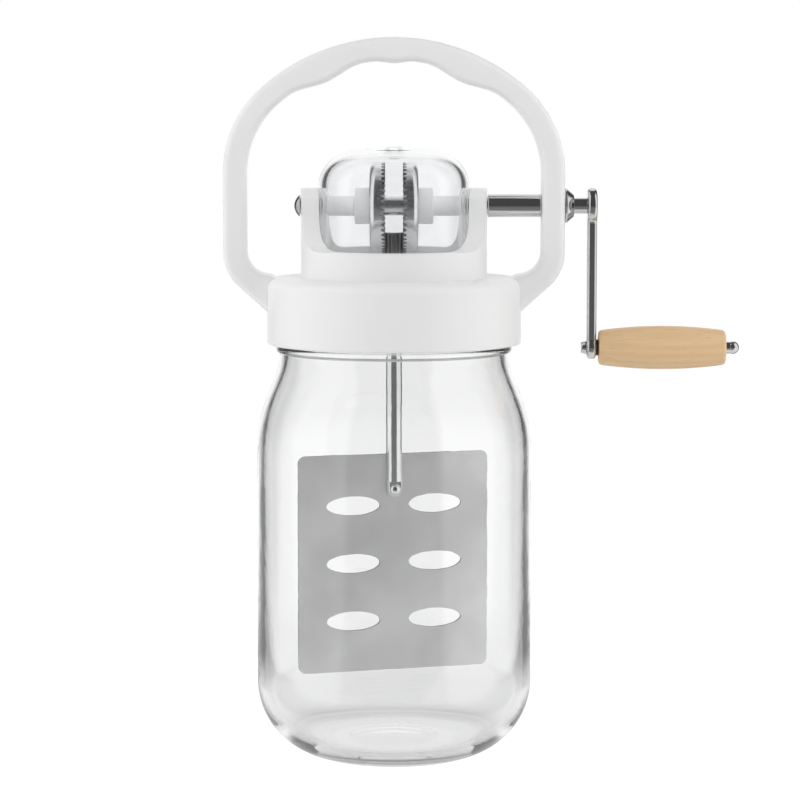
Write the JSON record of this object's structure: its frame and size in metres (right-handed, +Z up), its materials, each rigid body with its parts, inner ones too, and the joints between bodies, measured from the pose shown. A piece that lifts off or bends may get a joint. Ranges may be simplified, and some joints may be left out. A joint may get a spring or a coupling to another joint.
{
  "type": "glass jar butter churn",
  "caption": "Hand-cranked butter churn: a glass jar with a screw lid, a geared crank under a clear cover, a pierced paddle blade and an arched carrying handle.",
  "frame": {"origin": "middle of the foot of the jar, on the surface that it stands on", "axes": "+Z up along the jar and the paddle rod, +X along the crank shaft towards the crank arm, -Y is the side that the picture shows"},
  "size_m": [0.2054, 0.11, 0.287],
  "materials": {
    "clear_glass": "clear pressed soda-lime glass",
    "silicone": "translucent white silicone",
    "white_plastic": "satin white moulded plastic",
    "clear_plastic": "clear moulded plastic",
    "pale_plastic": "pale grey moulded plastic",
    "dark_rubber": "matt dark rubber",
    "stainless_steel": "brushed stainless steel",
    "polished_steel": "polished steel",
    "gear_steel": "dull plated gear steel",
    "beech": "turned and oiled beech"
  },
  "bodies": {
    "jar": {"glass_jar": "clear_glass"},
    "gasket": {"lid_gasket": "silicone"},
    "lid": {"screw_lid": "white_plastic", "gear_housing": "white_plastic", "clear_cover": "clear_plastic", "carry_handle": "white_plastic", "housing_screws": "stainless_steel", "rod_bush": "pale_plastic", "rod_seal": "dark_rubber"},
    "crank": {"crank_shaft": "polished_steel", "shaft_cap": "polished_steel", "left_sleeve": "pale_plastic", "gear_spacer": "gear_steel", "drive_crown": "gear_steel", "drive_hub": "white_plastic", "right_sleeve": "pale_plastic", "spacer_tube": "polished_steel", "cone_washer": "polished_steel", "crank_arm": "polished_steel", "grip_pin": "polished_steel", "grip_washer": "dark_rubber", "grip_ball_nut": "polished_steel"},
    "idler": {"idler_crown": "gear_steel", "idler_hub": "white_plastic"},
    "paddle": {"paddle_rod": "polished_steel", "paddle_blade": "stainless_steel", "blade_rivet": "polished_steel", "pinion": "gear_steel", "thrust_washer": "stainless_steel", "rod_clip": "stainless_steel"},
    "grip": {"wooden_grip": "beech"}
  },
  "joints": [
    {"name": "lid_lift", "type": "slide", "parent": "jar", "child": "gasket", "axis": [0, 0, 1], "range_m": [0, 0.2]},
    {"name": "lid_unscrew", "type": "hinge", "parent": "gasket", "child": "lid", "pos_m": [0, 0, 0.188], "axis": [0, 0, 1], "range_deg": [0, 360]},
    {"name": "crank_turn", "type": "hinge", "parent": "lid", "child": "crank", "pos_m": [0, 0, 0.2206], "axis": [1, 0, 0], "continuous": true},
    {"name": "idler_turn", "type": "hinge", "parent": "lid", "child": "idler", "pos_m": [0, 0, 0.2206], "axis": [1, 0, 0], "continuous": true},
    {"name": "paddle_turn", "type": "hinge", "parent": "lid", "child": "paddle", "pos_m": [0, 0, 0.2], "axis": [0, 0, 1], "continuous": true},
    {"name": "grip_spin", "type": "hinge", "parent": "crank", "child": "grip", "pos_m": [0.1, 0, 0.1641], "axis": [1, 0, 0], "continuous": true}
  ],
  "couplings": [
    {"joint": "idler_turn", "follows": "crank_turn", "ratio": -1},
    {"joint": "paddle_turn", "follows": "crank_turn", "ratio": 4}
  ]
}
